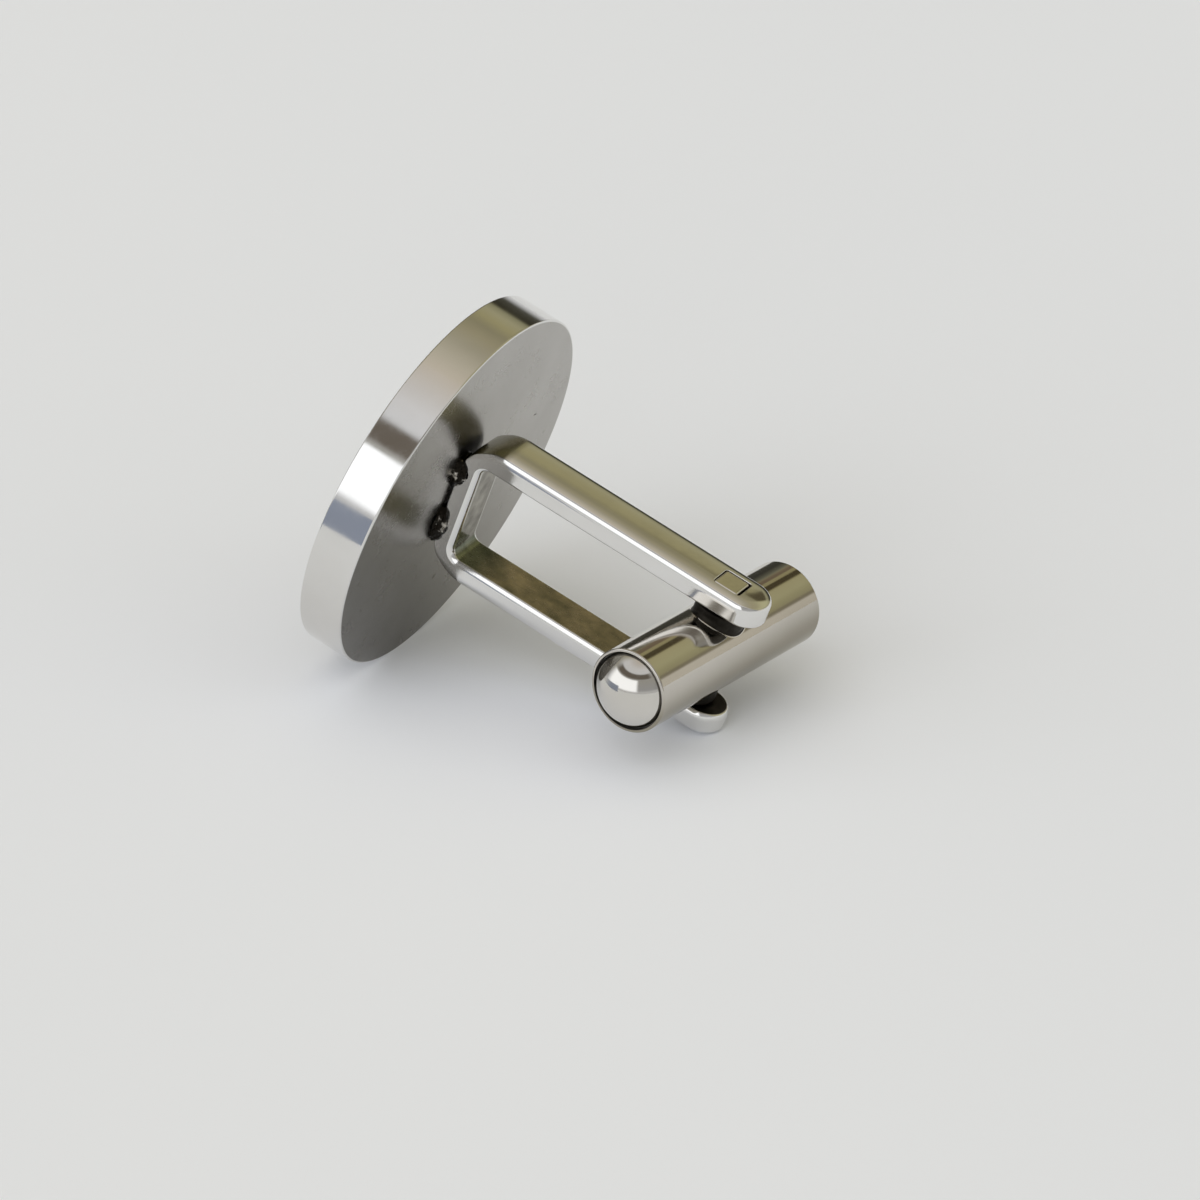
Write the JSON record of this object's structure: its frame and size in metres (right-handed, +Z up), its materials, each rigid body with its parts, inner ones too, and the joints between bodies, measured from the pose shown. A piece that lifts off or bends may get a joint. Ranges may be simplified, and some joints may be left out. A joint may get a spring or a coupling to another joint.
{
  "type": "cufflink",
  "caption": "Round plain metal cufflink with a thick head, a bent-strip post and a bullet-shaped toggle that swivels in line with the post to pass a buttonhole.",
  "frame": {"origin": "on the table, under the middle of the part as it lies on the head's back rim and the lower arm's tip", "axes": "+X from the head towards the toggle, along the table; +Y along the toggle, away from the viewer; +Z up from the table"},
  "size_m": [0.0234, 0.02, 0.0197],
  "materials": {
    "head_steel": "satin back, polished rim",
    "post_steel": "polished",
    "pivot_steel": "drawn bar",
    "toggle_steel": "polished",
    "plug_steel": "polished",
    "spring_steel": "rolled spring strip",
    "weld_metal": "oxidised weld"
  },
  "bodies": {
    "link": {"head_disc": "head_steel", "weld_nugget_upper": "weld_metal", "weld_nugget_lower": "weld_metal", "post_frame": "post_steel", "pivot_bar": "pivot_steel"},
    "toggle": {"toggle_barrel": "toggle_steel", "end_plug_near": "plug_steel", "end_plug_far": "plug_steel", "detent_leaf_front": "spring_steel", "detent_leaf_rear": "spring_steel"}
  },
  "joints": [
    {"name": "toggle_swivel", "type": "hinge", "parent": "link", "child": "toggle", "pos_m": [0.00829, 0, 0.00459], "axis": [0.3262, 0, 0.9453], "range_deg": [-84, 96], "deforming": ["detent_leaf_front", "detent_leaf_rear"]}
  ]
}
